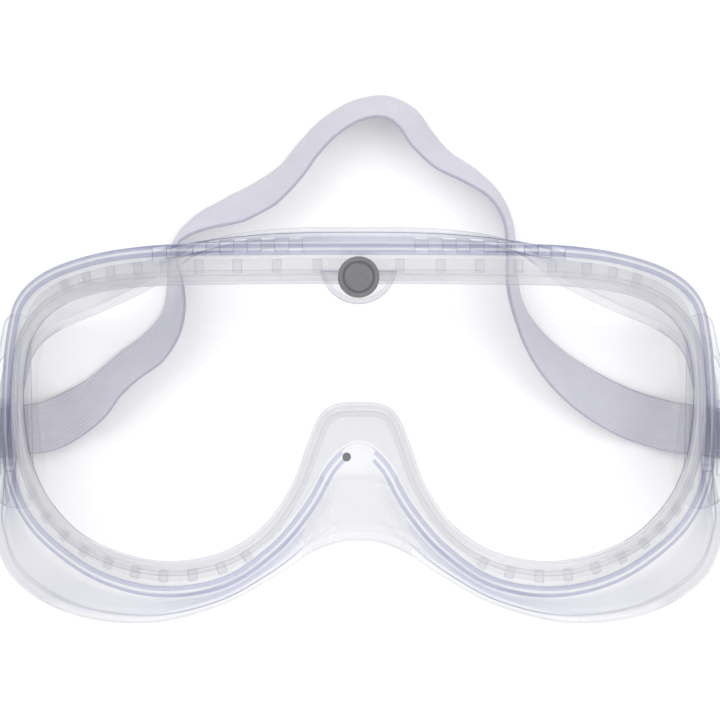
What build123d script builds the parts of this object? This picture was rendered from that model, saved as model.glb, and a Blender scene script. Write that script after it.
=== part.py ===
"""Direct-vented safety goggles: soft PVC frame, curved lens, snap button, elastic head strap.

The goggles lie on their back on a table, lens up. +X runs across the face, +Y is towards the
forehead, +Z points out of the lens, and z = 0 is the table. Units are millimetres.
"""
import os
from math import cos, hypot, radians, sin, sqrt

from build123d import *

os.makedirs("parts", exist_ok=True)

# ---------------------------------------------------------------- driving dimensions
CROWN = 51.0            # height of the rim's front face at the middle
FRONT_R = 130.0         # bend radius of the rim and lens, about an axis along Y
FACE_CROWN = 25.0       # height of the face edge over the forehead and nose
FACE_R = 116.0          # bend radius of the face edge, which is flat at the temples
TOP_LEVEL = 56.0        # the skirt wall is ruled from z = 0 to this level, then trimmed
REACH = 62.0            # long enough to run past the frame along Y

BEAD_W = 2.4            # outer bead of the rim
LIP_W = 1.8             # lens lip beside the aperture
TROUGH_DEPTH = 1.2      # band sunk between bead and lip
TROUGH_CLEAR = 2.0      # the cut that sinks it starts this far above the rim
RIM_T = 6.0             # front to back
LENS_SINK = 1.9         # rim face to lens face
LENS_T = 1.5
LENS_BITE = 3.0         # the lens runs this far past the aperture
GROOVE_PLAY = 0.1
WALL_T = 2.6            # skirt wall

VENT_W = 3.1
VENT_H = 4.6
VENT_PITCH = 6.2
VENT_DROP = 4.0         # rim back to middle of the vents
VENT_CUT = 20.0
TOP_VENTS = 6           # each side of the button
TOP_VENT_X = 14.0
TOP_VENT_Y = 34.0

BOSS_R = 8.4            # round tab that carries the snap button
BOSS_Y = 34.8
BOSS_END_Y = 38.7       # the tab stops short of the rim's outer edge
BOSS_LOW = CROWN - RIM_T - 0.4
BOSS_TOP = CROWN + 1.2
BUTTON_Y = 32.0
CAP_R = 4.5
CAP_H = 2.6
CAP_ROUND = 1.1
DISH_OUTER = 3.0        # ring pressed into the cap
DISH_INNER = 2.25
DISH_DEPTH = 0.5
POST_R = 1.5
POST_LOW = 42.0
POST_CHAMFER = 0.4
FIT = 0.06              # running fit of the post, radial
BODY_GAP = 0.35         # air between separate moving pieces
SOCKET_R = 3.6
SOCKET_T = 2.2
SOCKET_CHAMFER = 0.6
TONGUE_R = 4.0          # lens tab round the post

PIN_R = 0.9
PIN_AT = (-2.6, -7.0)
PIN_LOW = 47.4
PIN_TOP = 51.5
PIN_CHAMFER = 0.25

LUG_LOW = 8.0
LUG_HIGH = 11.0
LUG_CORNER = 2.5
SLOT_CORNER = 0.6
BAR_X = 89.85           # middle of the lug's outer bar
CROSS_Y = -4.0          # where the strap crosses that bar
SKEW = 8.0             # degrees between the strap's straight ends and the X axis
STRAP_W = 12.0
STRAP_T = 1.0
STANDING_Z = 3.1        # middle of the strap's upper layer at the lugs
STANDING_END = 15.0     # lengths along the straight ends count inward from the bar
TAIL_Z = 1.65           # middle of the turned-back tail
TAIL_END = 13.5
WRAP_UP = 2.95          # the band rises this far inside the bar
WRAP_DOWN = -2.85       # and comes down this far outside it
WRAP_TOP = 11.95
WRAP_R = 1.3
KEEPER_START = 4.5
KEEPER_L = 3.5
KEEPER_W = 16.0
KEEPER_H = 4.9
KEEPER_SIDE = 1.6
KEEPER_FLOOR = 0.8
KEEPER_GAP = 3.2
NOTCH_REACH = 20.0      # along X
NOTCH_W = 19.6
NOTCH_H = 5.5
NOTCH_X = 84.0
NOTCH_Y = -2.8

# Half outlines, from the middle of the forehead round to the middle of the nose.
# Each front point pairs with the face point at the other end of the same wall line.
FRONT = [(0, 39.5), (24, 39.5), (46, 39.4), (60, 37.8), (72, 34.0), (79, 28), (81.6, 19), (82.6, 9),
         (82.8, -2), (81.6, -13), (77.5, -22), (70, -29.2), (58, -35.8), (43.9, -38.4), (29, -35.8),
         (17.5, -28), (9.5, -18.5), (4.6, -10), (0, -6.5)]
FACE = [(0, 44), (22, 43.4), (37, 40.5), (48, 33), (60, 27.6), (73, 22.5), (79.5, 16.5), (82.2, 7),
        (83.4, -4), (85.5, -16), (87, -27), (83, -38), (70, -46), (50, -47), (33, -42.5),
        (20, -35.5), (11.5, -29.8), (5, -27.2), (0, -26.7)]
APERTURE = [(0, 30.8), (24, 30.8), (46, 30.6), (60.5, 29), (70, 25.2), (75.5, 19), (77.6, 10), (77.4, 0),
            (75, -11), (69.5, -19.8), (60, -27), (45, -30.7), (31, -28.6), (21, -22.3), (14.5, -12.8),
            (11, -3.5), (8.3, 2.4), (4.5, 4.6), (0, 4.8)]
LUG = [(78, 25), (83.6, 25), (85.6, 14), (91, 6), (91, -13), (84, -21), (77, -21)]
SLOT = [(83.4, 15), (84.7, 14.6), (88.7, 5.5), (88.7, -11.5), (84.9, -13.5), (84.9, 8)]

# Route of the strap between its two straight ends: X, Y and the bank of the band in degrees.
# 0 lies flat, 90 stands on edge, and the edge nearer the goggles is the high one.
ROUTE = [(-69.4, 0.7, 15), (-63.6, 4.4, 32), (-59.4, 8.7, 45), (-54.9, 12.7, 46), (-49.4, 16.8, 45),
         (-45.6, 21.6, 53), (-43.9, 26.8, 61), (-43.8, 32.4, 68), (-44.3, 38, 77), (-43, 42.8, 80),
         (-37.5, 47, 66), (-29, 50.4, 50), (-21.8, 54.2, 50), (-16.2, 59, 58), (-12, 64.4, 60),
         (-7, 69.6, 60), (-0.4, 73.6, 60), (6.2, 74.6, 58), (11.4, 72, 56), (15, 67, 56),
         (19.8, 62, 60), (26.6, 58, 66), (32.4, 53.2, 74), (35.6, 46.8, 78), (36.3, 39.4, 78),
         (36.5, 33.6, 75), (37.3, 28.8, 74), (39.1, 23.8, 70), (42.4, 18.1, 58), (46.8, 12.9, 46),
         (52.2, 8.3, 34), (58, 4.5, 24), (64.2, 1.4, 14), (69.8, -0.5, 6)]
ROUTE_ENDS = [(s * (BAR_X - STANDING_END * cos(radians(SKEW))),
               CROSS_Y + STANDING_END * sin(radians(SKEW)), 0) for s in (-1, 1)]


# ---------------------------------------------------------------- geometry helpers
def front_z(x, radius=FRONT_R):
    """Height of the curved front, or of a layer under it, at x."""
    return CROWN - FRONT_R + sqrt(radius**2 - x**2)


def face_z(x):
    """Height of the face edge at x."""
    return max(0.0, FACE_CROWN - FACE_R + sqrt(FACE_R**2 - x**2))


def smoothed(points):
    """The half outline with a rounded-in point added in the middle of each side."""
    first, second = points[1], points[-2]
    ring = [(-first[0], first[1])] + points + [(-second[0], second[1])]
    result = [points[0]]
    for a, b, c, d in zip(ring, ring[1:], ring[2:], ring[3:]):
        result.append(tuple((9 * (b[i] + c[i]) - a[i] - d[i]) / 16 for i in (0, 1)))
        result.append(c)
    return result


def at_level(z):
    """Half outline of the skirt at height z, on the wall lines from front rim to face edge."""
    points = []
    for (fx, fy), (bx, by) in zip(smoothed(FRONT), smoothed(FACE)):
        share = (front_z(fx) - z) / (front_z(fx) - face_z(bx))
        points.append((fx + (bx - fx) * share, fy + (by - fy) * share))
    return points


def grown(points, amount):
    """The half outline moved outward by an amount, each point along its own normal."""
    before = [(-points[1][0], points[1][1])] + points[:-1]
    after = points[1:] + [(-points[-2][0], points[-2][1])]
    moved = []
    for (x, y), (ax, ay), (bx, by) in zip(points, before, after):
        dx, dy = bx - ax, by - ay
        moved.append((x - dy / hypot(dx, dy) * amount, y + dx / hypot(dx, dy) * amount))
    return moved


def outline_face(points):
    """Closed face inside a half outline and its mirror image."""
    with BuildSketch() as face:
        with BuildLine():
            Polyline(*points, *[(-x, y) for x, y in points[-2:0:-1]], close=True)
        make_face()
    return face.sketch


def ruled_body(growth):
    """The solid block inside the skirt wall, grown by an amount, before it is trimmed."""
    with BuildPart() as body:
        with BuildSketch():
            add(outline_face(grown(at_level(0), growth)))
        with BuildSketch(Plane.XY.offset(TOP_LEVEL)):
            add(outline_face(grown(at_level(TOP_LEVEL), growth)))
        loft(ruled=True)
    return body.part


def drum(radius, crown):
    """A cylinder along Y whose top line is at a height, for trimming curved faces."""
    with BuildPart() as cylinder:
        with BuildSketch(Plane.XZ):
            with Locations((0, crown - radius)):
                Circle(radius)
        extrude(amount=REACH, both=True)
    return cylinder.part


def curved_plate(outer, front_depth, back_depth, inner=None, tongue=0.0):
    """A plate that follows the curved front between two depths, inside an outline.

    A depth below zero is above the front face.
    """
    with BuildPart() as plate:
        with BuildSketch():
            add(outline_face(outer))
            if inner:
                add(outline_face(inner), mode=Mode.SUBTRACT)
            if tongue:
                with Locations((0, BUTTON_Y)):
                    Circle(tongue)
        extrude(amount=TOP_LEVEL)
        add(drum(FRONT_R - front_depth, CROWN - front_depth), mode=Mode.INTERSECT)
        add(drum(FRONT_R - back_depth, CROWN - back_depth), mode=Mode.SUBTRACT)
    return plate.part


def button_tab():
    """The round tab under the snap button, cut off just inside the rim's outer edge."""
    with BuildPart() as tab:
        with BuildSketch(Plane.XY.offset(BOSS_LOW)):
            with Locations((0, BOSS_Y)):
                Circle(BOSS_R)
            with Locations((0, BOSS_END_Y)):
                Rectangle(2 * BOSS_R, BOSS_R, align=(Align.CENTER, Align.MIN), mode=Mode.SUBTRACT)
        extrude(amount=BOSS_TOP - BOSS_LOW)
    return tab.part


def side_lugs():
    """Both lugs, each with a slot for the strap, trimmed to the outside of the wall."""
    with BuildPart() as lugs:
        with BuildSketch(Plane.XY.offset(LUG_LOW)):
            with BuildLine():
                FilletPolyline(*LUG, radius=LUG_CORNER, close=True)
            make_face()
            with BuildLine():
                FilletPolyline(*SLOT, radius=SLOT_CORNER, close=True)
            make_face(mode=Mode.SUBTRACT)
        extrude(amount=LUG_HIGH - LUG_LOW)
        mirror(about=Plane.YZ)
        add(ruled_body(-WALL_T / 2), mode=Mode.SUBTRACT)
    return lugs.part


def vent_places():
    """Middles of the vents on both sides of the button, just behind the rim."""
    places = []
    for number in range(TOP_VENTS):
        x = TOP_VENT_X + number * VENT_PITCH
        z = front_z(x, FRONT_R - RIM_T) - VENT_DROP
        places += [(-x, TOP_VENT_Y, z), (x, TOP_VENT_Y, z)]
    return places


def strap_plane(side):
    """Plane at a lug bar: local x runs inward along the strap and local y is up."""
    inward = Vector(-side * cos(radians(SKEW)), sin(radians(SKEW)), 0)
    across = inward.cross(Vector(0, 0, 1))
    return Plane(origin=(side * BAR_X, CROSS_Y, 0), x_dir=inward, z_dir=across)


def wrap_sections(side):
    """Cross planes of one strap end: tail, round the lug bar, and in along the upper layer."""
    corner = WRAP_R * (1 - sqrt(0.5))
    path = [(TAIL_END, TAIL_Z, -1, 0)]
    corners = [(WRAP_DOWN, TAIL_Z, (-1, 0), (0, 1)), (WRAP_DOWN, WRAP_TOP, (0, 1), (1, 0)),
               (WRAP_UP, WRAP_TOP, (1, 0), (0, -1)), (WRAP_UP, STANDING_Z, (0, -1), (1, 0))]
    for u, z, come, go in corners:
        path.append((u - come[0] * WRAP_R, z - come[1] * WRAP_R, *come))
        path.append((u - (come[0] - go[0]) * corner, z - (come[1] - go[1]) * corner,
                     come[0] + go[0], come[1] + go[1]))
        path.append((u + go[0] * WRAP_R, z + go[1] * WRAP_R, *go))
    path.append((STANDING_END, STANDING_Z, 1, 0))
    inward = Vector(-side * cos(radians(SKEW)), sin(radians(SKEW)), 0)
    edge = Vector(-side * sin(radians(SKEW)), -cos(radians(SKEW)), 0)
    base = Vector(side * BAR_X, CROSS_Y, 0)
    planes = []
    for u, z, along, up in path:
        ahead = (inward * along + Vector(0, 0, up)) * -side
        planes.append(Plane(origin=base + inward * u + Vector(0, 0, z), x_dir=edge, z_dir=ahead))
    return planes if side < 0 else planes[::-1]


def route_sections():
    """Cross planes of the strap between its two straight ends."""
    stops = ROUTE_ENDS[:1] + ROUTE + ROUTE_ENDS[1:]
    planes = []
    for (ax, ay, _), (x, y, bank), (bx, by, _) in zip(stops, stops[1:], stops[2:]):
        lift = STRAP_W / 2 * sin(radians(bank)) + STRAP_T / 2 * cos(radians(bank))
        ahead = Vector(bx - ax, by - ay, 0).normalized()
        edge = Vector(ahead.Y, -ahead.X, 0) * cos(radians(bank)) + Vector(0, 0, sin(radians(bank)))
        planes.append(Plane(origin=(x, y, lift), x_dir=edge, z_dir=ahead))
    return planes


def finish(builder, name):
    """Label a finished piece and write its file."""
    builder.part.label = name
    export_step(builder.part, f"parts/{name}.step")


# ---------------------------------------------------------------- goggle frame and lens
lens_outline = grown(smoothed(APERTURE), LENS_BITE)
groove_outline = grown(smoothed(APERTURE), LENS_BITE + GROOVE_PLAY)
bead_edge = grown(smoothed(FRONT), -BEAD_W)
lip_edge = grown(smoothed(APERTURE), LIP_W)

# rim: the bent front ring with the lens groove and the button tab
with BuildPart() as goggle_rim:
    add(ruled_body(0))
    add(drum(FRONT_R, CROWN), mode=Mode.INTERSECT)
    add(drum(FRONT_R - RIM_T, CROWN - RIM_T), mode=Mode.SUBTRACT)
    with BuildSketch():
        add(outline_face(smoothed(APERTURE)))
    extrude(amount=TOP_LEVEL, mode=Mode.SUBTRACT)
    add(curved_plate(bead_edge, -TROUGH_CLEAR, TROUGH_DEPTH, lip_edge), mode=Mode.SUBTRACT)
    add(button_tab())
    add(curved_plate(groove_outline, LENS_SINK - GROOVE_PLAY, LENS_SINK + LENS_T + GROOVE_PLAY,
                     tongue=TONGUE_R + GROOVE_PLAY), mode=Mode.SUBTRACT)
    with Locations((0, BUTTON_Y, CROWN)):
        Cylinder(POST_R + FIT, REACH, mode=Mode.SUBTRACT)
    with Locations((*PIN_AT, PIN_LOW)):
        Cylinder(PIN_R, REACH, align=(Align.CENTER, Align.CENTER, Align.MIN), mode=Mode.SUBTRACT)
finish(goggle_rim, "goggle_rim")

# skirt: the flared wall behind the rim, with its vents, lugs and strap notches
with BuildPart() as skirt:
    add(ruled_body(0))
    add(drum(FRONT_R - RIM_T, CROWN - RIM_T), mode=Mode.INTERSECT)
    add(drum(FACE_R, FACE_CROWN), mode=Mode.SUBTRACT)
    add(ruled_body(-WALL_T), mode=Mode.SUBTRACT)
    with Locations(*vent_places()):
        Box(VENT_W, VENT_CUT, VENT_H, mode=Mode.SUBTRACT)
    add(side_lugs())
    add(button_tab(), mode=Mode.SUBTRACT)
    # the strap and its keeper pass under the temples
    with Locations((-NOTCH_X, NOTCH_Y, 0), (NOTCH_X, NOTCH_Y, 0)):
        Box(NOTCH_REACH, NOTCH_W, 2 * NOTCH_H, mode=Mode.SUBTRACT)

for hand, kept in (("left", Keep.BOTTOM), ("right", Keep.TOP)):
    with BuildPart() as skirt_half:
        add(skirt.part)
        split(bisect_by=Plane.YZ, keep=kept)
    finish(skirt_half, f"skirt_{hand}")

with BuildPart() as lens:
    add(curved_plate(lens_outline, LENS_SINK, LENS_SINK + LENS_T, tongue=TONGUE_R))
    with Locations((0, BUTTON_Y, CROWN)):
        Cylinder(POST_R + FIT, REACH, mode=Mode.SUBTRACT)
finish(lens, "lens")

with BuildPart() as nose_pin:
    with Locations((*PIN_AT, PIN_LOW)):
        Cylinder(PIN_R, PIN_TOP - PIN_LOW, align=(Align.CENTER, Align.CENTER, Align.MIN))
    chamfer(nose_pin.edges().group_by(Axis.Z)[-1], PIN_CHAMFER)
finish(nose_pin, "nose_pin")

# ---------------------------------------------------------------- snap button
with BuildPart() as snap_cap:
    with BuildSketch(Plane.XY.offset(BOSS_TOP + BODY_GAP)):
        with Locations((0, BUTTON_Y)):
            Circle(CAP_R)
    extrude(amount=CAP_H)
    fillet(snap_cap.edges().group_by(Axis.Z)[-1], CAP_ROUND)
    with BuildSketch(Plane.XY.offset(BOSS_TOP + BODY_GAP + CAP_H)):
        with Locations((0, BUTTON_Y)):
            Circle(DISH_OUTER)
            Circle(DISH_INNER, mode=Mode.SUBTRACT)
    extrude(amount=-DISH_DEPTH, mode=Mode.SUBTRACT)
finish(snap_cap, "snap_cap")

with BuildPart() as snap_post:
    with BuildSketch(Plane.XY.offset(POST_LOW)):
        with Locations((0, BUTTON_Y)):
            Circle(POST_R)
    extrude(amount=BOSS_TOP + BODY_GAP - POST_LOW)
    chamfer(snap_post.edges().group_by(Axis.Z)[0], POST_CHAMFER)
finish(snap_post, "snap_post")

with BuildPart() as snap_socket:
    with BuildSketch(Plane.XY.offset(BOSS_LOW - SOCKET_T)):
        with Locations((0, BUTTON_Y)):
            Circle(SOCKET_R)
            Circle(POST_R + FIT, mode=Mode.SUBTRACT)
    extrude(amount=SOCKET_T)
    chamfer(snap_socket.edges().group_by(Axis.Z)[0].sort_by(SortBy.LENGTH)[-1], SOCKET_CHAMFER)
finish(snap_socket, "snap_socket")

# ---------------------------------------------------------------- elastic strap
with BuildPart() as elastic_strap:
    # each end turns up through its lug slot, over the bar and back under itself
    for section in wrap_sections(-1) + route_sections() + wrap_sections(1):
        with BuildSketch(section):
            Rectangle(STRAP_W, STRAP_T)
    loft(ruled=True)
finish(elastic_strap, "elastic_strap")

# ---------------------------------------------------------------- strap keepers
for side, hand in ((-1, "left"), (1, "right")):
    with BuildPart() as strap_keeper:
        with BuildSketch(strap_plane(side)):
            with Locations((KEEPER_START, 0)):
                Rectangle(KEEPER_L, KEEPER_H, align=Align.MIN)
        extrude(amount=KEEPER_W / 2, both=True)
        with BuildSketch(strap_plane(side)):
            with Locations((KEEPER_START, KEEPER_FLOOR)):
                Rectangle(KEEPER_L, KEEPER_GAP, align=Align.MIN)
        extrude(amount=KEEPER_W / 2 - KEEPER_SIDE, both=True, mode=Mode.SUBTRACT)
    finish(strap_keeper, f"strap_keeper_{hand}")
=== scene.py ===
"""Safety goggles lying lens up: soft clear frame, lens, snap button and ribbed elastic strap."""
from math import asin, cos, hypot, pi, radians, sin, sqrt

import bmesh
import bpy
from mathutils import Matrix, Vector


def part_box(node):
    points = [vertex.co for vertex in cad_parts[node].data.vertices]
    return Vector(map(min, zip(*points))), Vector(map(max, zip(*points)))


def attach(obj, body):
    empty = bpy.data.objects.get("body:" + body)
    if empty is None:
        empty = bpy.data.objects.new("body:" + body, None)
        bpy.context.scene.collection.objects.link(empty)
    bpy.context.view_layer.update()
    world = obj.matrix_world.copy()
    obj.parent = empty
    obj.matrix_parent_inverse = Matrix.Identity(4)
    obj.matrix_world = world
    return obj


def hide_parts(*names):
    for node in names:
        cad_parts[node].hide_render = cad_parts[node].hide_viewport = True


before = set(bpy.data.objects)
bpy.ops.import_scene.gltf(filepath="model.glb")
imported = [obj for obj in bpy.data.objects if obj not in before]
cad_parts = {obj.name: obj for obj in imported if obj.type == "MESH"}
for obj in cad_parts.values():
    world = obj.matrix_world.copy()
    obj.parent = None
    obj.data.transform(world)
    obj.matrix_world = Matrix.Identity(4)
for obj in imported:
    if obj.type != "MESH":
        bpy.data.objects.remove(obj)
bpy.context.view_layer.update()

MM = 0.001

# ---------------------------------------------------------------- places taken from the frame
rim_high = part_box("goggle_rim")[1]
cap_low, cap_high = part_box("snap_cap")
socket_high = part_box("snap_socket")[1]
TAB_LIP_RISE = 1.2 * MM
CROWN = rim_high[2] - TAB_LIP_RISE        # middle of the rim's front face
BUTTON_X = (cap_low[0] + cap_high[0]) / 2
BUTTON_Y = (cap_low[1] + cap_high[1]) / 2
CAP_R = (cap_high[0] - cap_low[0]) / 2

# ---------------------------------------------------------------- shape of the soft frame, in mm
FRONT_R = 130.0
FACE_CROWN = 25.0
FACE_R = 116.0
FACE_EASE = 1.6         # how softly the arched face edge runs into the flat temples
RIM_T = 6.0
WALL_T = 2.6
TROUGH_DEPTH = 1.2
LENS_SINK = 1.9
LENS_T = 1.5
LENS_BITE = 2.9
RIM_W = 8.5             # from the edge of the eye opening to the outline
LIP_W = 1.9
BEAD_W = 2.5
SAMPLES = 8             # points on each stretch of an outline
SPREAD = 6              # neighbours each way that even out the places on the eye opening
NORMAL_REACH = 2        # neighbours each way that give a curve its direction

# ---------------------------------------------------------------- the frame's section, in mm
# It runs from the eye opening over the lip, trough and bead, down the wall to the face, and back up
# inside to the lens groove. A growth moves a ring outward along the curve it follows.
LIP_SECTION = [(0, 0.9), (0.12, 0.45), (0.5, 0.28), (1.3, 0.28), (1.75, 0.6)]       # growth, depth
TROUGH_SHARES = (0.25, 0.5, 0.75)
TROUGH_SAG = 0.1
BEAD_SECTION = [(-2.35, 0.45), (-1.55, 0.05), (-0.95, 0.0), (-0.1, 0.4)]            # growth, depth
WALL_SECTION = [(0.05, 0.05), (0.16, 0), (0.3, 0), (0.44, 0), (0.58, 0), (0.64, 0.3),
                (0.70, 0.3), (0.76, 0), (0.84, 0), (0.91, 0.2)]     # share of the way down, growth
FACE_SECTION = [(0.5, 1.5), (0.6, 0.9), (0.45, 0.3), (0.1, 0.0), (-1.0, 0.0),
                (-1.45, 0.2), (-1.6, 0.8)]                          # growth, height over the edge
INNER_SECTION = [(0.88, 1.6), (0.7, 2.0), (0.5, WALL_T), (0.34, WALL_T)]    # share down, thickness
CORNER_EASE = 0.4       # how far the back of the rim stops short of the wall
GROOVE_TOP = LENS_SINK - 0.1
GROOVE_FOOT = LENS_SINK + LENS_T + 0.1
GROOVE_BITE = LENS_BITE + 0.15
GROOVE_SECTION = [(3.6, RIM_T), (0.6, RIM_T - 0.4), (0, RIM_T - 1.0), (0, GROOVE_FOOT),
                  (GROOVE_BITE, GROOVE_FOOT), (GROOVE_BITE, GROOVE_TOP), (0, GROOVE_TOP)]

# Strips of the section, each counted from the ring where it starts.
LIP_FOOT = len(LIP_SECTION)
BEAD_FOOT = LIP_FOOT + len(TROUGH_SHARES) + 1
BEAD_STRIPS = (BEAD_FOOT, BEAD_FOOT + 1, BEAD_FOOT + 3)     # the two dense edges of the bead
CREST_STRIP = BEAD_FOOT + 2                                 # the lighter strip between them
TROUGH_STRIPS = range(LIP_FOOT, BEAD_FOOT)
WALL_TOP = BEAD_FOOT + len(BEAD_SECTION)
WALL_FOOT = WALL_TOP + len(WALL_SECTION) + 1
SADDLE_STRIPS = range(WALL_TOP, WALL_FOOT)                  # frosted where the wall makes the saddle
BACK_STRIPS = (-1 - len(GROOVE_SECTION), -len(GROOVE_SECTION))     # rim back, counted from the last
DENSE = 1               # places of the moulding's second and third materials
FROSTED = 2
SADDLE_HALF = 12.5      # half width of the frosted saddle where it meets the face
APEX_HALF = 3.2         # the bead's dense edges stop either side of the middle of the nose
APEX_Y = (-14, 0)

# Half outlines, from the middle of the forehead round to the middle of the nose.
FRONT = [(0, 39.5), (24, 39.5), (46, 39.4), (60, 37.8), (72, 34.0), (79, 28), (81.6, 19), (82.6, 9),
         (82.8, -2), (81.6, -13), (77.5, -22), (70, -29.2), (58, -35.8), (43.9, -38.4), (29, -35.8),
         (17.5, -28), (9.5, -18.5), (4.6, -10), (0, -6.5)]
FACE = [(0, 44), (22, 43.4), (37, 40.5), (48, 33), (60, 27.6), (73, 22.5), (79.5, 16.5), (82.2, 7),
        (83.4, -4), (85.5, -16), (87, -27), (83, -38), (70, -46), (50, -47), (33, -42.5),
        (20, -35.5), (11.5, -29.8), (5, -27.2), (0, -26.7)]
APERTURE = [(0, 30.8), (24, 30.8), (46, 30.6), (60.5, 29), (70, 25.2), (75.5, 19), (77.6, 10), (77.4, 0),
            (75, -11), (69.5, -19.8), (60, -27), (45, -30.7), (31, -28.6), (21, -22.3), (14.5, -12.8),
            (11, -3.5), (8.3, 2.4), (4.5, 4.6), (0, 4.8)]
LUG = [(78, 25), (83.6, 25), (85.6, 14), (91, 6), (91, -13), (84, -21), (77, -21)]
SLOT = [(83.4, 15), (84.7, 14.6), (88.7, 5.5), (88.7, -11.5), (84.9, -13.5), (84.9, 8)]
LUG_LOW = 8.0
LUG_HIGH = 11.0
LUG_CORNER = 3.5
SLOT_CORNER = 0.9
LUG_ROUND = 0.5
CORNER_STEPS = 6
CORNER_MOST = 0.45      # a corner takes up at most this share of each side

TAB_R = 8.4
TAB_Y = 34.8
TAB_END_Y = 33.4
TAB_RISE = 0.8
TAB_LIP_W = 1.0
TAB_LIP_SINK = 0.1
TAB_ROUND = 0.18
TAB_STEPS = 72
POST_HOLE_R = 1.7
POST_HOLE_STEPS = 48

VENT_W = 3.1
VENT_H = 4.6
VENT_PITCH = 6.2
VENT_DROP = 4.0
VENT_Y = 34
VENT_REACH = 20
VENT_X = 14.0           # the vent nearest the button
VENTS = 6               # on each side of the button
CUT_ROUND = 0.5
RIB_PITCH = 6.2
RIB_W = 2.0
RIB_DEPTH = 2.4
RIB_SINK = 0.3          # how far a rib's root lies inside the rim
RIB_ROUND = 0.15
RIB_SHARES = (0.30, 0.64)       # where a rib starts and ends across the rim
BOX_SIDES = ((0, 2, 3, 1), (4, 5, 7, 6), (0, 1, 5, 4), (2, 6, 7, 3), (0, 4, 6, 2), (1, 3, 7, 5))
BROW_X = (8.0, 70)
BROW_Y = 20
CHEEK_X = 22
CHEEK_Y = -16
NOTCH = (20.0, 19.6, 11.0)
NOTCH_AT = (84.0, -2.8)

SHEET_X = 84.0          # half sides of the sheet that the lens is cut from
SHEET_Y = 40.0
SHEET_COLUMNS = 150
SHEET_ROWS = 4
CUTTER_TOP = 70.0       # well above the lens

# Radius and height as shares of the button's radius and thickness, from under it round to its top.
BUTTON_PROFILE = [(0.0002, 0), (0.86, 0), (0.97, 0.12), (1.0, 0.4), (0.99, 0.66), (0.95, 0.86),
                  (0.89, 0.97), (0.84, 1), (0.79, 0.97), (0.75, 0.87), (0.72, 0.80), (0.69, 0.84),
                  (0.62, 0.90), (0.5, 0.935), (0.3, 0.965), (0.14, 0.97), (0.09, 0.93), (0.0002, 0.9)]

# ---------------------------------------------------------------- strap, in mm
STRAP_W = 12.0
STRAP_T = 1.0
CORDS = 13              # rubber cords across the band, each showing as a rib
CORD_H = 0.11
BAR_X = 89.85
CROSS_Y = -4.0
SKEW = 8.0              # slant of the straight ends, in degrees
STANDING_Z = 3.1        # middle of the strap's upper layer at the lugs
STANDING_END = 15.0     # lengths along the straight ends count inward from the bar
TAIL_Z = 1.65           # middle of the turned-back tail
TAIL_END = 13.5
WRAP_UP = 2.95          # the band rises this far inside the bar
WRAP_DOWN = -2.85       # and comes down this far outside it
WRAP_TOP = 11.95
WRAP_R = 1.3

# Route between the two straight ends: X, Y and the bank of the band in degrees.
# 0 lies flat, 90 stands on edge, and the edge nearer the goggles is the high one.
ROUTE = [(-69.4, 0.7, 15), (-63.6, 4.4, 32), (-59.4, 8.7, 45), (-54.9, 12.7, 46), (-49.4, 16.8, 45),
         (-45.6, 21.6, 53), (-43.9, 26.8, 61), (-43.8, 32.4, 68), (-44.3, 38, 77), (-43, 42.8, 80),
         (-37.5, 47, 66), (-29, 50.4, 50), (-21.8, 54.2, 50), (-16.2, 59, 58), (-12, 64.4, 60),
         (-7, 69.6, 60), (-0.4, 73.6, 60), (6.2, 74.6, 58), (11.4, 72, 56), (15, 67, 56),
         (19.8, 62, 60), (26.6, 58, 66), (32.4, 53.2, 74), (35.6, 46.8, 78), (36.3, 39.4, 78),
         (36.5, 33.6, 75), (37.3, 28.8, 74), (39.1, 23.8, 70), (42.4, 18.1, 58), (46.8, 12.9, 46),
         (52.2, 8.3, 34), (58, 4.5, 24), (64.2, 1.4, 14), (69.8, -0.5, 6)]

STRAP_STEP = 1.1        # greatest length between two sections of the band
FLOOR_GAP = 0.05
POINTS_PER_CORD = 6
CORD_SINK = 0.08        # how far the grooves between the cords lie under the band's face
EDGE_TRIM = 0.5
EDGE_START = 0.94       # share of the half width where the face starts to round off
EDGE_DROP = 0.12
EDGE_IN = 0.05
EDGE_HALF = 0.22
BORDER = (0.455, 0.49)  # shares of the width between which the darker edge band begins

# ---------------------------------------------------------------- colours
FLOOR_WHITE = (0.93, 0.93, 0.935, 1)
SNAP_COLOURS = ((0.115, 0.115, 0.122, 1), (0.160, 0.160, 0.167, 1))
ELASTIC_COLOURS = ((0.50, 0.495, 0.56, 1), (0.57, 0.565, 0.625, 1))
# colour the band darkens to along each edge
EDGE_BAND_COLOUR = (0.38, 0.37, 0.46, 1)
EDGE_POWER = 7.0        # how narrow the tinted edge of a clear piece is
GLOSS_MOST = 0.3
MOTTLE = 1.08
COLOUR_A, COLOUR_B = 6, 7       # colour inputs of a Mix node, whose colour output comes third
COLOUR_OUT = 2

# ---------------------------------------------------------------- camera, stage and lamps
CAMERA_HEIGHT = 0.450       # above the middle of the rim
CAMERA_Y = 14.1 * MM
CAMERA_X = 0.3 * MM
VIEW_WIDTH = 156.2 * MM     # seen across the picture at the rim
SENSOR = 36.0
LAMP_AIM = (0, 0.01, 0.02)
WORLD_STRENGTH = 0.98
LAMPS = [("key", (-0.7, 0.6, 1.1), 1.1, 5.0), ("fill", (0.9, 0.2, 1.0), 1.1, 4.0),
         ("front", (0.1, -1.0, 0.8), 0.8, 3.4)]     # name, place, size and power


def make_camera():
    data = bpy.data.cameras.new("camera")
    data.sensor_width = SENSOR
    data.lens = SENSOR * CAMERA_HEIGHT / VIEW_WIDTH
    camera = bpy.data.objects.new("camera", data)
    camera.location = (CAMERA_X, CAMERA_Y, CROWN + CAMERA_HEIGHT)
    bpy.context.collection.objects.link(camera)
    bpy.context.scene.camera = camera


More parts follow.
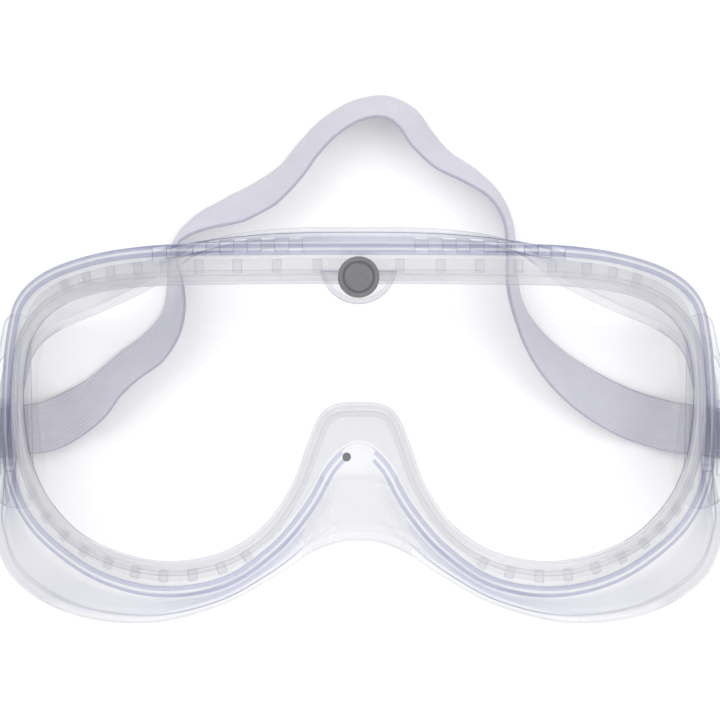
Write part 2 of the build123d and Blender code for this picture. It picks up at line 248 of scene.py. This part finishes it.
def make_stage():
    bpy.ops.mesh.primitive_plane_add(size=6, location=(0, 0, 0))
    floor = bpy.context.object
    floor.name = "floor"
    material = bpy.data.materials.new("floor_white")
    material.use_nodes = True
    shader = material.node_tree.nodes["Principled BSDF"]
    shader.inputs["Base Color"].default_value = FLOOR_WHITE
    shader.inputs["Roughness"].default_value = 0.9
    shader.inputs["Specular IOR Level"].default_value = 0.1
    floor.data.materials.append(material)


def make_light(name, place, size, power):
    data = bpy.data.lights.new(name, "AREA")
    data.shape = "DISK"
    data.size = size
    data.energy = power
    lamp = bpy.data.objects.new(name, data)
    lamp.location = place
    aim = Vector(LAMP_AIM) - Vector(place)
    lamp.rotation_euler = aim.to_track_quat("-Z", "Y").to_euler()
    bpy.context.collection.objects.link(lamp)


def make_lights():
    for lamp in LAMPS:
        make_light(*lamp)
    world = bpy.data.worlds.new("studio")
    world.use_nodes = True
    background = world.node_tree.nodes["Background"]
    background.inputs["Color"].default_value = (1, 1, 1, 1)
    background.inputs["Strength"].default_value = WORLD_STRENGTH
    bpy.context.scene.world = world
    bpy.context.scene.view_settings.view_transform = "Standard"
    bpy.context.scene.cycles.transparent_max_bounces = 24


# ---------------------------------------------------------------- materials
def new_material(name):
    material = bpy.data.materials.new(name)
    material.use_nodes = True
    tree = material.node_tree
    tree.nodes.clear()
    output = tree.nodes.new("ShaderNodeOutputMaterial")
    return material, tree, output


def add_node(tree, kind, **values):
    node = tree.nodes.new(kind)
    for key, value in values.items():
        if key in node.inputs:
            node.inputs[key].default_value = value
        else:
            setattr(node, key, value)
    return node


def noise_bump(tree, scale, strength, distance, detail=3.0):
    """A bump normal from object-space noise."""
    place = tree.nodes.new("ShaderNodeTexCoord")
    noise = add_node(tree, "ShaderNodeTexNoise", Scale=scale, Detail=detail)
    bump = add_node(tree, "ShaderNodeBump", Strength=strength, Distance=distance)
    tree.links.new(place.outputs["Object"], noise.inputs["Vector"])
    tree.links.new(noise.outputs["Fac"], bump.inputs["Height"])
    return noise, bump


def clear_material(name, face_tint, edge_tint, body, film, roughness, grain, shine):
    """See-through plastic that absorbs: pale face on, darker and bluer where the light runs along it.

    film is how much of a milky surface, coloured like body, lies over the clear one. shine scales its
    gloss, and grain is the fineness of its unevenness.
    """
    material, tree, output = new_material(name)
    noise, bump = noise_bump(tree, grain, strength=0.10, distance=0.0003)
    weight = add_node(tree, "ShaderNodeLayerWeight", Blend=0.5)
    curve = add_node(tree, "ShaderNodeMath", operation="POWER")
    curve.inputs[1].default_value = EDGE_POWER
    tint = add_node(tree, "ShaderNodeMix", data_type="RGBA")
    tint.inputs[COLOUR_A].default_value = (*face_tint, 1)
    tint.inputs[COLOUR_B].default_value = (*edge_tint, 1)
    clear = tree.nodes.new("ShaderNodeBsdfTransparent")
    milky = add_node(tree, "ShaderNodeBsdfDiffuse", Roughness=0.5)
    mottle = add_node(tree, "ShaderNodeMix", data_type="RGBA")
    mottle.inputs[COLOUR_A].default_value = (*body, 1)
    mottle.inputs[COLOUR_B].default_value = (*[min(1.0, channel * MOTTLE) for channel in body], 1)
    haze = tree.nodes.new("ShaderNodeMixShader")
    haze.inputs["Fac"].default_value = film
    gloss = add_node(tree, "ShaderNodeBsdfGlossy", Roughness=roughness)
    fresnel = add_node(tree, "ShaderNodeFresnel", IOR=1.45)
    glint = add_node(tree, "ShaderNodeMath", operation="MULTIPLY")
    glint.inputs[1].default_value = shine
    most = add_node(tree, "ShaderNodeMath", operation="MINIMUM")
    most.inputs[1].default_value = GLOSS_MOST
    top = tree.nodes.new("ShaderNodeMixShader")
    tree.links.new(weight.outputs["Facing"], curve.inputs[0])
    tree.links.new(curve.outputs["Value"], tint.inputs["Factor"])
    tree.links.new(tint.outputs[COLOUR_OUT], clear.inputs["Color"])
    tree.links.new(noise.outputs["Fac"], mottle.inputs["Factor"])
    tree.links.new(mottle.outputs[COLOUR_OUT], milky.inputs["Color"])
    tree.links.new(bump.outputs["Normal"], gloss.inputs["Normal"])
    tree.links.new(bump.outputs["Normal"], fresnel.inputs["Normal"])
    tree.links.new(clear.outputs["BSDF"], haze.inputs[1])
    tree.links.new(milky.outputs["BSDF"], haze.inputs[2])
    tree.links.new(fresnel.outputs["Fac"], glint.inputs[0])
    tree.links.new(glint.outputs["Value"], most.inputs[0])
    tree.links.new(most.outputs["Value"], top.inputs["Fac"])
    tree.links.new(haze.outputs["Shader"], top.inputs[1])
    tree.links.new(gloss.outputs["BSDF"], top.inputs[2])
    tree.links.new(top.outputs["Shader"], output.inputs["Surface"])
    return material


def snap_material():
    material, tree, output = new_material("grey_snap")
    noise, bump = noise_bump(tree, scale=2200, strength=0.25, distance=0.00012, detail=5.0)
    surface = add_node(tree, "ShaderNodeBsdfPrincipled")
    ramp = add_node(tree, "ShaderNodeMapRange")
    ramp.inputs["To Min"].default_value = 0.30
    ramp.inputs["To Max"].default_value = 0.50
    mixed = add_node(tree, "ShaderNodeMix", data_type="RGBA")
    mixed.inputs[COLOUR_A].default_value, mixed.inputs[COLOUR_B].default_value = SNAP_COLOURS
    tree.links.new(noise.outputs["Fac"], mixed.inputs["Factor"])
    tree.links.new(mixed.outputs[COLOUR_OUT], surface.inputs["Base Color"])
    tree.links.new(noise.outputs["Fac"], ramp.inputs["Value"])
    tree.links.new(ramp.outputs["Result"], surface.inputs["Roughness"])
    tree.links.new(bump.outputs["Normal"], surface.inputs["Normal"])
    tree.links.new(surface.outputs["BSDF"], output.inputs["Surface"])
    return material


def elastic_material():
    """Woven elastic: fine cross picks over the modelled ribs, with a darker band along each edge."""
    material, tree, output = new_material("white_elastic")
    place = add_node(tree, "ShaderNodeUVMap", uv_map="along")
    split = tree.nodes.new("ShaderNodeSeparateXYZ")
    picks = add_node(tree, "ShaderNodeTexWave", Scale=520.0, Distortion=0.6, Detail=2.0)
    picks.bands_direction = "X"
    threads = add_node(tree, "ShaderNodeTexWave", Scale=330.0, Distortion=0.3, Detail=1.0)
    threads.bands_direction = "Y"
    both = add_node(tree, "ShaderNodeMath", operation="ADD")
    bump = add_node(tree, "ShaderNodeBump", Strength=0.5, Distance=0.00008)
    cloud = add_node(tree, "ShaderNodeTexNoise", Scale=160.0, Detail=4.0)
    body = add_node(tree, "ShaderNodeMix", data_type="RGBA")
    body.inputs[COLOUR_A].default_value, body.inputs[COLOUR_B].default_value = ELASTIC_COLOURS
    edge = add_node(tree, "ShaderNodeMath", operation="ABSOLUTE")
    border = add_node(tree, "ShaderNodeMapRange")
    border.inputs["From Min"].default_value = STRAP_W * MM * BORDER[0]
    border.inputs["From Max"].default_value = STRAP_W * MM * BORDER[1]
    darker = add_node(tree, "ShaderNodeMix", data_type="RGBA")
    darker.inputs[COLOUR_B].default_value = EDGE_BAND_COLOUR
    surface = add_node(tree, "ShaderNodeBsdfPrincipled", Roughness=0.82)
    surface.inputs["Sheen Weight"].default_value = 0.25
    surface.inputs["Specular IOR Level"].default_value = 0.25
    tree.links.new(place.outputs["UV"], split.inputs["Vector"])
    for texture in (picks, threads, cloud):
        tree.links.new(place.outputs["UV"], texture.inputs["Vector"])
    tree.links.new(picks.outputs["Fac"], both.inputs[0])
    tree.links.new(threads.outputs["Fac"], both.inputs[1])
    tree.links.new(both.outputs["Value"], bump.inputs["Height"])
    tree.links.new(cloud.outputs["Fac"], body.inputs["Factor"])
    tree.links.new(split.outputs["Y"], edge.inputs[0])
    tree.links.new(edge.outputs["Value"], border.inputs["Value"])
    tree.links.new(border.outputs["Result"], darker.inputs["Factor"])
    tree.links.new(body.outputs[COLOUR_OUT], darker.inputs[COLOUR_A])
    tree.links.new(darker.outputs[COLOUR_OUT], surface.inputs["Base Color"])
    tree.links.new(bump.outputs["Normal"], surface.inputs["Normal"])
    tree.links.new(surface.outputs["BSDF"], output.inputs["Surface"])
    return material


# ---------------------------------------------------------------- mesh helpers
def make_piece(name, points, faces, material, slot, body, *nodes):
    """A smooth-shaded mesh that rides on a body and stands for the named CAD nodes."""
    mesh = bpy.data.meshes.new(name)
    mesh.from_pydata(points, [], faces)
    work = bmesh.new()
    work.from_mesh(mesh)
    bmesh.ops.recalc_face_normals(work, faces=work.faces)
    work.to_mesh(mesh)
    work.free()
    piece = bpy.data.objects.new(name, mesh)
    bpy.context.collection.objects.link(piece)
    mesh.materials.append(material)
    shade(piece)
    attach(piece, body)
    if nodes:
        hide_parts(*nodes)
    return piece


def shade(piece, degrees=38):
    bpy.ops.object.select_all(action="DESELECT")
    piece.select_set(True)
    bpy.context.view_layer.objects.active = piece
    bpy.ops.object.shade_smooth_by_angle(angle=radians(degrees))


def cut(piece, cutter, operation="DIFFERENCE"):
    """Apply a boolean and remove the cutter."""
    modifier = piece.modifiers.new("cut", "BOOLEAN")
    modifier.operation = operation
    modifier.solver = "EXACT"
    modifier.object = cutter
    bpy.context.view_layer.update()
    evaluated = piece.evaluated_get(bpy.context.evaluated_depsgraph_get())
    mesh = bpy.data.meshes.new_from_object(evaluated)
    piece.modifiers.remove(modifier)
    piece.data = mesh
    bpy.data.objects.remove(cutter)
    shade(piece)


def lathe(profile, centre, steps=96):
    """Points and faces of a closed profile of (radius, height) turned about a vertical axis."""
    points = []
    for step in range(steps):
        angle = 2 * pi * step / steps
        for radius, height in profile:
            points.append((centre[0] + radius * cos(angle), centre[1] + radius * sin(angle), height))
    size = len(profile)
    faces = []
    for step in range(steps):
        here, there = step * size, (step + 1) % steps * size
        for k in range(size):
            after = (k + 1) % size
            faces.append((here + k, there + k, there + after, here + after))
    return points, faces


def smooth_loop(points):
    """The half outline and its mirror image as one dense closed curve."""
    ring = points + [(-x, y) for x, y in points[-2:0:-1]]
    count = len(ring)
    curve = []
    for k in range(count):
        a, b, c, d = (ring[(k + shift) % count] for shift in (-1, 0, 1, 2))
        for step in range(SAMPLES):
            t = step / SAMPLES
            curve.append(tuple(
                (2 * b[i] + (c[i] - a[i]) * t + (2 * a[i] - 5 * b[i] + 4 * c[i] - d[i]) * t**2
                 + (3 * b[i] - a[i] - 3 * c[i] + d[i]) * t**3) / 2 for i in (0, 1)))
    return curve


def offset(curve, amount):
    """A closed curve moved outward along its normals."""
    count = len(curve)
    moved = []
    for k, (x, y) in enumerate(curve):
        before, after = curve[k - NORMAL_REACH], curve[(k + NORMAL_REACH) % count]
        dx, dy = after[0] - before[0], after[1] - before[1]
        moved.append((x - dy / hypot(dx, dy) * amount, y + dx / hypot(dx, dy) * amount))
    return moved


def blend_loops(first, second, share):
    return [(a[0] + (b[0] - a[0]) * share, a[1] + (b[1] - a[1]) * share) for a, b in zip(first, second)]


def matched(curve, guide, gap):
    """The curve resampled so that each point lies square across the rim from the guide's."""
    inner = offset(guide, -gap)
    count = len(curve)
    places = []
    last = 0
    for k, (x, y) in enumerate(inner):
        near = range(last - NORMAL_REACH, last + 3 * SAMPLES) if k else range(-SAMPLES, SAMPLES)
        last = min(near, key=lambda j: hypot(curve[j % count][0] - x, curve[j % count][1] - y))
        places.append(last)
    size = len(places)
    result = []
    for k in range(size):
        total = 0.0
        for shift in range(-SPREAD, SPREAD + 1):
            index = k + shift
            total += places[index % size] + (index // size) * count
        place = total / (2 * SPREAD + 1)
        low = int(place // 1)
        share = place - low
        a, b = curve[low % count], curve[(low + 1) % count]
        result.append((a[0] + (b[0] - a[0]) * share, a[1] + (b[1] - a[1]) * share))
    return result


def front_z(x, depth=0.0):
    radius = FRONT_R - depth
    return CROWN / MM - FRONT_R + sqrt(radius**2 - x**2)


def face_z(x):
    arch = FACE_CROWN - FACE_R + sqrt(FACE_R**2 - min(abs(x), FACE_R) ** 2)
    return (arch + sqrt(arch**2 + FACE_EASE**2)) / 2


# ---------------------------------------------------------------- soft frame
def frame_rings():
    """Closed rings of the frame's section, once round it, in mm."""
    front = smooth_loop(FRONT)
    back = smooth_loop(FACE)
    opening = matched(smooth_loop(APERTURE), front, RIM_W)

    def on_front(curve, depth):
        return [(x, y, front_z(x, depth)) for x, y in curve]

    def on_wall(share, growth):
        line = offset(blend_loops(front, back, share), growth)
        tops = [front_z(x) for x, _ in front]
        feet = [face_z(x) for x, _ in back]
        return [(x, y, top + (foot - top) * share) for (x, y), top, foot in zip(line, tops, feet)]

    def on_face(growth, lift):
        return [(x, y, face_z(bx) + lift) for (x, y), (bx, _) in zip(offset(back, growth), back)]

    lip = offset(opening, LIP_W)
    bead = offset(front, -BEAD_W)
    rings = [on_front(offset(opening, growth), depth) for growth, depth in LIP_SECTION]
    rings.append(on_front(lip, TROUGH_DEPTH))
    rings += [on_front(blend_loops(lip, bead, share), TROUGH_DEPTH + TROUGH_SAG)
              for share in TROUGH_SHARES]
    rings.append(on_front(bead, TROUGH_DEPTH))
    rings += [on_front(offset(front, growth), depth) for growth, depth in BEAD_SECTION]
    rings += [on_wall(share, growth) for share, growth in WALL_SECTION]
    rings += [on_face(growth, lift) for growth, lift in FACE_SECTION]
    rings += [on_wall(share, -thickness) for share, thickness in INNER_SECTION]
    rings.append(on_front(offset(front, -WALL_T - CORNER_EASE), RIM_T))
    rings += [on_front(offset(opening, growth), depth) for growth, depth in GROOVE_SECTION]
    return rings, opening


def ring_mesh(rings):
    points = [tuple(value * MM for value in point) for ring in rings for point in ring]
    size = len(rings[0])
    faces = []
    for r in range(len(rings)):
        here, there = r * size, (r + 1) % len(rings) * size
        for k in range(size):
            after = (k + 1) % size
            faces.append((here + k, here + after, there + after, there + k))
    return points, faces


def make_boxes(boxes):
    """One mesh of separate boxes, each a centre and a size in mm, to cut with."""
    work = bmesh.new()
    for centre, size in boxes:
        made = bmesh.ops.create_cube(work, size=1.0)
        for vertex in made["verts"]:
            vertex.co = [(centre[i] + vertex.co[i] * size[i]) * MM for i in range(3)]
    bmesh.ops.bevel(work, geom=list(work.edges), offset=CUT_ROUND * MM, segments=3, affect="EDGES",
                    profile=0.5)
    mesh = bpy.data.meshes.new("cutter")
    work.to_mesh(mesh)
    work.free()
    cutter = bpy.data.objects.new("cutter", mesh)
    bpy.context.collection.objects.link(cutter)
    return cutter


def make_frame(material, dense, frosted):
    """The moulding: clear skirt, dense edges on the bead, and frosted trough, saddle and rim back."""
    rings, opening = frame_rings()
    piece = make_piece("frame_moulding", *ring_mesh(rings), material, "clear_pvc", "goggles",
                       "goggle_rim", "skirt_left", "skirt_right")
    piece.data.materials.append(dense)
    piece.data.materials.append(frosted)
    size = len(rings[0])
    saddle = [abs(x) < SADDLE_HALF and y < 0 for x, y, _ in rings[WALL_FOOT]]
    for polygon in piece.data.polygons:
        strip, along = divmod(polygon.index, size)
        x, y, _ = (value / MM for value in polygon.center)
        on_apex = abs(x) < APEX_HALF and APEX_Y[0] < y < APEX_Y[1]
        on_crest = strip == CREST_STRIP or on_apex and strip in BEAD_STRIPS
        on_saddle = saddle[along] and strip in SADDLE_STRIPS
        on_back = strip - len(rings) in BACK_STRIPS
        if on_crest or on_saddle or on_back or strip in TROUGH_STRIPS:
            polygon.material_index = FROSTED
        elif strip in BEAD_STRIPS:
            polygon.material_index = DENSE
    boxes = []
    for side in (-1, 1):
        for number in range(VENTS):
            x = VENT_X + number * VENT_PITCH
            middle = (side * x, VENT_Y, front_z(x, RIM_T) - VENT_DROP)
            boxes.append((middle, (VENT_W, VENT_REACH, VENT_H)))
        boxes.append(((side * NOTCH_AT[0], NOTCH_AT[1], 0), NOTCH))
    cut(piece, make_boxes(boxes))
    return opening


def make_ribs(opening, material):
    """Short ribs across the back of the rim, between the vents and on round the cheeks."""
    front = smooth_loop(FRONT)
    count = len(front)
    points, faces = [], []
    travelled = RIB_PITCH
    for k in range(count):
        x, y = front[k]
        step = (front[(k + 1) % count][0] - x, front[(k + 1) % count][1] - y)
        travelled += hypot(*step)
        on_brow = y > BROW_Y and BROW_X[0] < abs(x) < BROW_X[1]
        on_cheek = y < CHEEK_Y and abs(x) > CHEEK_X
        if travelled < RIB_PITCH or not (on_brow or on_cheek):
            continue
        travelled = 0.0
        run = hypot(*step)
        along = (step[0] / run * RIB_W / 2, step[1] / run * RIB_W / 2)
        inner, outer = opening[k], front[k]
        base = len(points)
        for share in RIB_SHARES:
            middle = (inner[0] + (outer[0] - inner[0]) * share, inner[1] + (outer[1] - inner[1]) * share)
            for side in (-1, 1):
                place = (middle[0] + along[0] * side, middle[1] + along[1] * side)
                top = front_z(place[0], RIM_T) + RIB_SINK
                points.append((place[0] * MM, place[1] * MM, top * MM))
                points.append((place[0] * MM, place[1] * MM, (top - RIB_DEPTH) * MM))
        faces += [tuple(base + corner for corner in side) for side in BOX_SIDES]
    piece = make_piece("rim_ribs", points, faces, material, "clear_pvc", "goggles")
    modifier = piece.modifiers.new("soft_edges", "BEVEL")
    modifier.width = RIB_ROUND * MM
    modifier.segments = 2


def rounded_outline(points, radius):
    """Closed outline with each corner turned into a short curve, in metres."""
    outline = []
    count = len(points)
    for k in range(count):
        before, here, after = (Vector(points[(k + shift) % count]) for shift in (-1, 0, 1))
        start = here + (before - here).normalized() * min(radius, (before - here).length * CORNER_MOST)
        end = here + (after - here).normalized() * min(radius, (after - here).length * CORNER_MOST)
        for step in range(CORNER_STEPS + 1):
            t = step / CORNER_STEPS
            outline.append((start * (1 - t) ** 2 + here * 2 * t * (1 - t) + end * t**2) * MM)
    return outline


def plate_from_outlines(name, outlines, low, high, bevel):
    """A flat plate with rounded edges, whose first outline is its edge and the others are holes."""
    curve = bpy.data.curves.new(name, "CURVE")
    curve.dimensions = "2D"
    curve.fill_mode = "BOTH"
    curve.extrude = (high - low) / 2 - bevel
    curve.bevel_depth = bevel
    curve.bevel_resolution = 3
    curve.offset = -bevel
    for outline in outlines:
        spline = curve.splines.new("POLY")
        spline.points.add(len(outline) - 1)
        for point, place in zip(spline.points, outline):
            point.co = (place[0], place[1], 0, 1)
        spline.use_cyclic_u = True
    holder = bpy.data.objects.new(name, curve)
    bpy.context.collection.objects.link(holder)
    bpy.context.view_layer.update()
    mesh = bpy.data.meshes.new_from_object(holder.evaluated_get(bpy.context.evaluated_depsgraph_get()))
    bpy.data.objects.remove(holder)
    middle = (low + high) / 2
    work = bmesh.new()
    work.from_mesh(mesh)
    bmesh.ops.remove_doubles(work, verts=work.verts, dist=1e-6)
    points = [(v.co.x, v.co.y, v.co.z + middle) for v in work.verts]
    faces = [[v.index for v in face.verts] for face in work.faces]
    work.free()
    return points, faces


def make_lugs(material):
    for side, hand in ((-1, "left"), (1, "right")):
        edge = rounded_outline([(side * x, y) for x, y in LUG], LUG_CORNER)
        slot = rounded_outline([(side * x, y) for x, y in SLOT], SLOT_CORNER)
        points, faces = plate_from_outlines("lug", [edge, slot], LUG_LOW * MM, LUG_HIGH * MM,
                                            LUG_ROUND * MM)
        make_piece(f"lug_{hand}", points, faces, material, "clear_pvc", "goggles")


def tab_arc(radius, steps):
    """The round of the tab, from where the cut ends it on one side round to the other."""
    start = asin((TAB_END_Y - TAB_Y) / radius)
    sweep = pi + 2 * start
    arc = []
    for step in steps:
        angle = start - sweep * step / TAB_STEPS
        x, y = BUTTON_X / MM + radius * cos(angle), TAB_Y + radius * sin(angle)
        arc.append(Vector((x * MM, y * MM)))
    return arc


def make_tab(material):
    """Round tab under the snap button, cut off inside the rim's edge, with a raised lip."""
    outer = tab_arc(TAB_R, range(TAB_STEPS + 1))
    inner = tab_arc(TAB_R - TAB_LIP_W, range(TAB_STEPS, -1, -1))
    hole = []
    for step in range(POST_HOLE_STEPS):
        angle = 2 * pi * step / POST_HOLE_STEPS
        hole.append(Vector((BUTTON_X, BUTTON_Y)) + Vector((cos(angle), sin(angle))) * POST_HOLE_R * MM)
    tab_top = CROWN + TAB_RISE * MM
    lip_low = tab_top - TAB_LIP_SINK * MM
    for name, outlines, low, high in (("button_tab", [outer, hole], socket_high[2], tab_top),
                                      ("tab_lip", [outer + inner], lip_low, rim_high[2])):
        points, faces = plate_from_outlines(name, outlines, low, high, TAB_ROUND * MM)
        make_piece(name, points, faces, material, "clear_pvc", "goggles")


# ---------------------------------------------------------------- lens and button
def make_lens(opening, material):
    """A bent sheet cut to the lens outline."""
    points = []
    for depth in (LENS_SINK, LENS_SINK + LENS_T):
        for row in range(SHEET_ROWS + 1):
            for column in range(SHEET_COLUMNS + 1):
                x = -SHEET_X + 2 * SHEET_X * column / SHEET_COLUMNS
                y = -SHEET_Y + 2 * SHEET_Y * row / SHEET_ROWS
                points.append((x * MM, y * MM, front_z(x, depth) * MM))
    size = SHEET_COLUMNS + 1
    layer = size * (SHEET_ROWS + 1)
    faces = []
    for row in range(SHEET_ROWS):
        for column in range(SHEET_COLUMNS):
            a = row * size + column
            faces.append((a, a + 1, a + 1 + size, a + size))
            faces.append((layer + a, layer + a + size, layer + a + 1 + size, layer + a + 1))
    for a in range(SHEET_COLUMNS):
        b = SHEET_ROWS * size + a
        faces.append((a, layer + a, layer + a + 1, a + 1))
        faces.append((b, b + 1, layer + b + 1, layer + b))
    for row in range(SHEET_ROWS):
        a = row * size
        b = a + SHEET_COLUMNS
        faces.append((a, a + size, layer + a + size, layer + a))
        faces.append((b, layer + b, layer + b + size, b + size))
    piece = make_piece("lens_sheet", points, faces, material, "clear_lens", "goggles", "lens")
    outline = [(x * MM, y * MM) for x, y in offset(opening, LENS_BITE)]
    count = len(outline)
    prism = [(x, y, height) for height in (0.0, CUTTER_TOP * MM) for x, y in outline]
    sides = [(k, (k + 1) % count, count + (k + 1) % count, count + k) for k in range(count)]
    sides += [tuple(range(count - 1, -1, -1)), tuple(range(count, 2 * count))]
    mesh = bpy.data.meshes.new("cutter")
    mesh.from_pydata(prism, [], sides)
    cutter = bpy.data.objects.new("cutter", mesh)
    bpy.context.collection.objects.link(cutter)
    cut(piece, cutter, "INTERSECT")


def make_button(material):
    """Turned button head: rolled rim, shallow dish, inner ring and a small centre dimple."""
    low, height = cap_low[2], cap_high[2] - cap_low[2]
    profile = [(radius * CAP_R, low + rise * height) for radius, rise in BUTTON_PROFILE]
    points, faces = lathe(profile, (BUTTON_X, BUTTON_Y))
    make_piece("button_head", points, faces, material, "grey_snap", "snap_button", "snap_cap")


# ---------------------------------------------------------------- elastic strap
def wrap_path(side):
    """Centre, width direction and forward direction along one strap end, from its tail inward."""
    corner = WRAP_R * (1 - sqrt(0.5))
    path = [(TAIL_END, TAIL_Z, -1, 0), (TAIL_END / 2, TAIL_Z, -1, 0)]
    corners = [(WRAP_DOWN, TAIL_Z, (-1, 0), (0, 1)), (WRAP_DOWN, WRAP_TOP, (0, 1), (1, 0)),
               (WRAP_UP, WRAP_TOP, (1, 0), (0, -1)), (WRAP_UP, STANDING_Z, (0, -1), (1, 0))]
    for u, z, come, go in corners:
        path.append((u - come[0] * WRAP_R, z - come[1] * WRAP_R, *come))
        path.append((u - (come[0] - go[0]) * corner, z - (come[1] - go[1]) * corner,
                     come[0] + go[0], come[1] + go[1]))
        path.append((u + go[0] * WRAP_R, z + go[1] * WRAP_R, *go))
    path.append(((STANDING_END + WRAP_UP) / 2, STANDING_Z, 1, 0))
    path.append((STANDING_END, STANDING_Z, 1, 0))
    inward = Vector((-side * cos(radians(SKEW)), sin(radians(SKEW)), 0))
    edge = Vector((-side * sin(radians(SKEW)), -cos(radians(SKEW)), 0))
    base = Vector((side * BAR_X, CROSS_Y, 0))
    stations = []
    for u, z, _, _ in path:
        stations.append((base + inward * u + Vector((0, 0, z)), edge))
    return stations if side < 0 else stations[::-1]


def route_path():
    ends = [(s * (BAR_X - STANDING_END * cos(radians(SKEW))),
             CROSS_Y + STANDING_END * sin(radians(SKEW)), 0) for s in (-1, 1)]
    around = [ends[0], *ROUTE, ends[1]]
    stations = []
    for (ax, ay, _), (x, y, bank), (bx, by, _) in zip(around, around[1:], around[2:]):
        lift = STRAP_W / 2 * sin(radians(bank)) + (STRAP_T / 2 + CORD_H) * cos(radians(bank)) + FLOOR_GAP
        ahead = Vector((bx - ax, by - ay, 0)).normalized()
        edge = Vector((ahead.y, -ahead.x, 0)) * cos(radians(bank)) + Vector((0, 0, sin(radians(bank))))
        stations.append((Vector((x, y, lift)), edge))
    return stations


def dense_path(stations):
    """Smooth centres and width directions between the stations."""
    places, edges = [], []
    count = len(stations)
    for k in range(count - 1):
        a, b, c, d = (stations[min(max(k + shift, 0), count - 1)] for shift in (-1, 0, 1, 2))
        length = (c[0] - b[0]).length
        steps = max(2, round(length / STRAP_STEP))
        lead = min(length, (b[0] - a[0]).length if k else length)
        trail = min(length, (d[0] - c[0]).length if k < count - 2 else length)
        out = (c[0] - a[0]).normalized() * (lead + length) / 2
        into = (d[0] - b[0]).normalized() * (trail + length) / 2
        for step in range(steps):
            t = step / steps
            h1, h2 = 2 * t**3 - 3 * t**2 + 1, t**3 - 2 * t**2 + t
            h3, h4 = -2 * t**3 + 3 * t**2, t**3 - t**2
            places.append(b[0] * h1 + out * h2 + c[0] * h3 + into * h4)
            edges.append((b[1] * (1 - t) + c[1] * t).normalized())
    places.append(stations[-1][0])
    edges.append(stations[-1][1])
    return places, edges


def strap_section():
    """Half widths and half thicknesses round the ribbed section of the strap."""
    steps = CORDS * POINTS_PER_CORD
    top = []
    for step in range(steps + 1):
        share = step / steps
        across = (share - 0.5) * (STRAP_W - EDGE_TRIM)
        rib = CORD_H * abs(sin(pi * CORDS * share))
        round_off = EDGE_DROP * max(0.0, abs(share - 0.5) * 2 - EDGE_START) / (1 - EDGE_START)
        top.append((across, STRAP_T / 2 - CORD_SINK + rib - round_off))
    sides = [(STRAP_W / 2 - EDGE_IN, EDGE_HALF), (STRAP_W / 2, 0.0), (STRAP_W / 2 - EDGE_IN, -EDGE_HALF)]
    under = [(across, -height) for across, height in top[::-1]]
    return top + sides + under + [(-across, -height) for across, height in sides]


def make_strap(material):
    places, edges = dense_path(wrap_path(-1) + route_path() + wrap_path(1))
    section = strap_section()
    size = len(section)
    points, travel = [], [0.0]
    for k, (place, edge) in enumerate(zip(places, edges)):
        ahead = (places[min(k + 1, len(places) - 1)] - places[max(k - 1, 0)]).normalized()
        edge = (edge - ahead * edge.dot(ahead)).normalized()
        up = ahead.cross(edge)
        if k:
            travel.append(travel[-1] + (place - places[k - 1]).length)
        for across, height in section:
            points.append(tuple((place + edge * across + up * height) * MM))
    faces = []
    for k in range(len(places) - 1):
        for j in range(size):
            after = (j + 1) % size
            faces.append((k * size + j, k * size + after, (k + 1) * size + after, (k + 1) * size + j))
    last = (len(places) - 1) * size
    faces.append(tuple(range(size - 1, -1, -1)))
    faces.append(tuple(range(last, last + size)))
    piece = make_piece("strap_elastic", points, faces, material, "white_elastic", "goggles",
                       "elastic_strap")
    layer = piece.data.uv_layers.new(name="along")
    for loop in piece.data.loops:
        station, place = divmod(loop.vertex_index, size)
        layer.data[loop.index].uv = (travel[station] * MM, section[place][0] * MM)


# ---------------------------------------------------------------- CAD pieces that keep their shape
def dress(node, material, bevel):
    """New material and softened edges on a CAD node."""
    piece = bpy.data.objects[node]
    for place in piece.material_slots:
        place.material = material
    modifier = piece.modifiers.new("soft_edges", "BEVEL")
    modifier.width = bevel * MM
    modifier.segments = 3
    modifier.limit_method = "ANGLE"


make_camera()
make_stage()
make_lights()

soft_clear = clear_material("clear_pvc", face_tint=(0.966, 0.966, 0.969), edge_tint=(0.26, 0.27, 0.52),
                            body=(0.58, 0.58, 0.63), film=0.045, roughness=0.14, grain=240.0, shine=0.9)
dense_clear = clear_material("dense_pvc", face_tint=(0.58, 0.59, 0.71), edge_tint=(0.36, 0.38, 0.64),
                             body=(0.48, 0.49, 0.60), film=0.08, roughness=0.12, grain=240.0, shine=0.9)
frosted_clear = clear_material("frosted_pvc", face_tint=(0.92, 0.92, 0.925),
                               edge_tint=(0.55, 0.57, 0.74), body=(0.60, 0.60, 0.62),
                               film=0.25, roughness=0.30, grain=900.0, shine=0.5)
lens_clear = clear_material("clear_lens", face_tint=(1.0, 1.0, 1.0), edge_tint=(0.975, 0.98, 0.99),
                            body=(0.80, 0.81, 0.86), film=0.001, roughness=0.05, grain=60.0, shine=0.2)
hard_clear = clear_material("clear_keeper", face_tint=(0.95, 0.955, 0.975), edge_tint=(0.60, 0.61, 0.78),
                            body=(0.60, 0.62, 0.74), film=0.05, roughness=0.12, grain=300.0, shine=0.9)
grey = snap_material()
elastic = elastic_material()

opening_curve = make_frame(soft_clear, dense_clear, frosted_clear)
make_ribs(opening_curve, soft_clear)
make_lugs(soft_clear)
make_tab(soft_clear)
make_lens(opening_curve, lens_clear)
make_button(grey)
make_strap(elastic)
dress("nose_pin", grey, bevel=0.12)
dress("snap_post", grey, bevel=0.1)
dress("snap_socket", grey, bevel=0.2)
dress("strap_keeper_left", hard_clear, bevel=0.25)
dress("strap_keeper_right", hard_clear, bevel=0.25)
